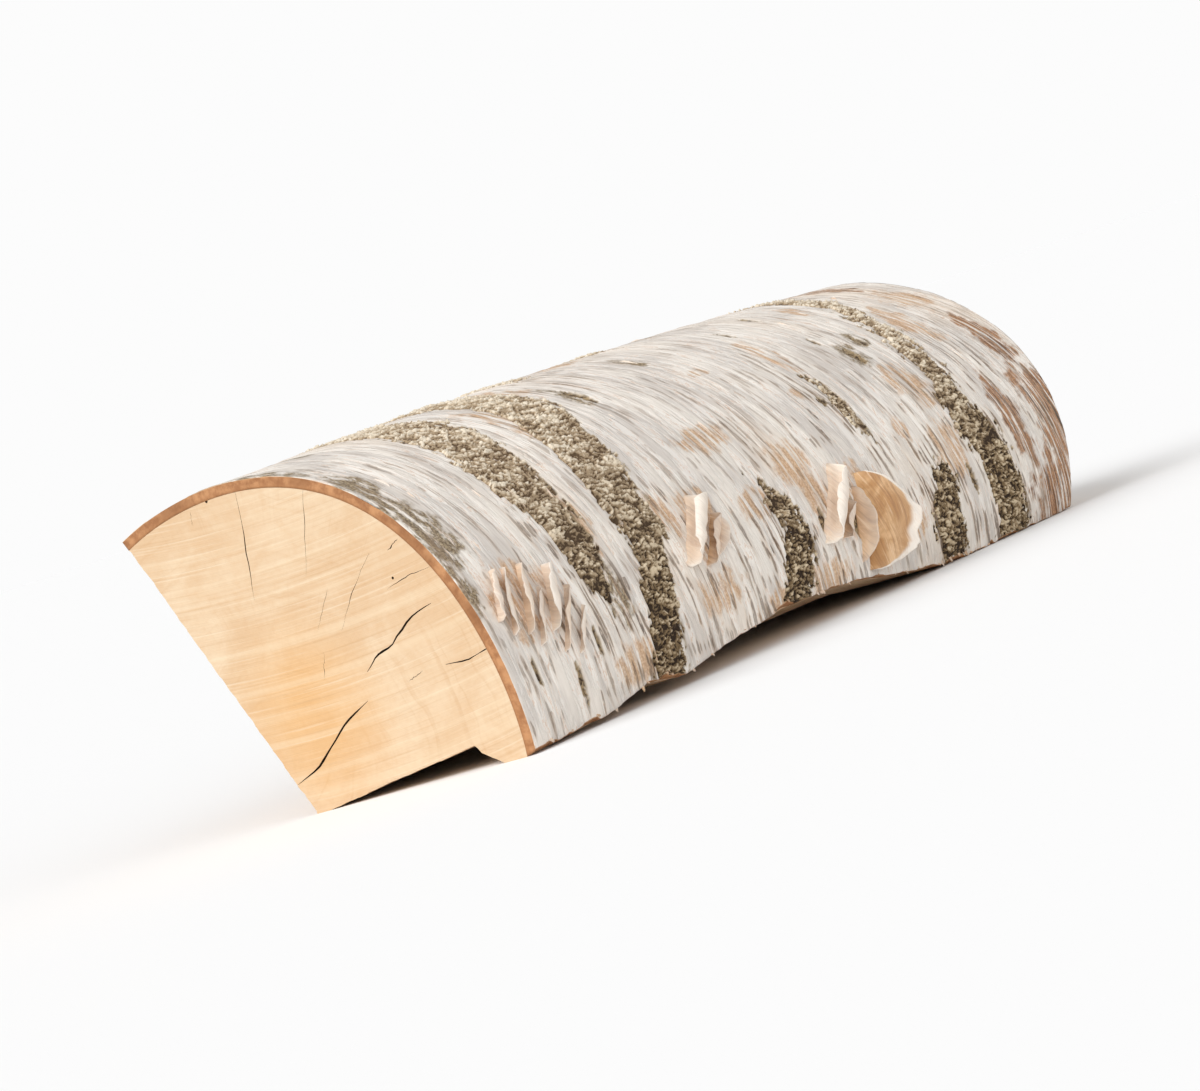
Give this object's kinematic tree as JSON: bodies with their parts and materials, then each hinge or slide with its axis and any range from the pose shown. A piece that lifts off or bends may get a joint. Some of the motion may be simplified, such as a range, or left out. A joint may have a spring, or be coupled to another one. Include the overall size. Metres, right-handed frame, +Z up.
{
  "type": "wood log",
  "caption": "Split birch firewood log: a wedge of pale wood with sawn ends and white, banded, peeling bark on its round side.",
  "frame": {"origin": "middle of the log's footprint, on the floor it rests on", "axes": "+Y along the grain from the square near end to the slanted far one, +X across towards the bark's lower edge, +Z up"},
  "size_m": [0.1312, 0.375, 0.1028],
  "materials": {
    "wood": "raw sawn and split birch, pale cream, matt",
    "bark": "white papery birch bark with rough grey bands, matt"
  },
  "bodies": {
    "root": {"wood": "wood", "bark": "bark"}
  },
  "joints": []
}
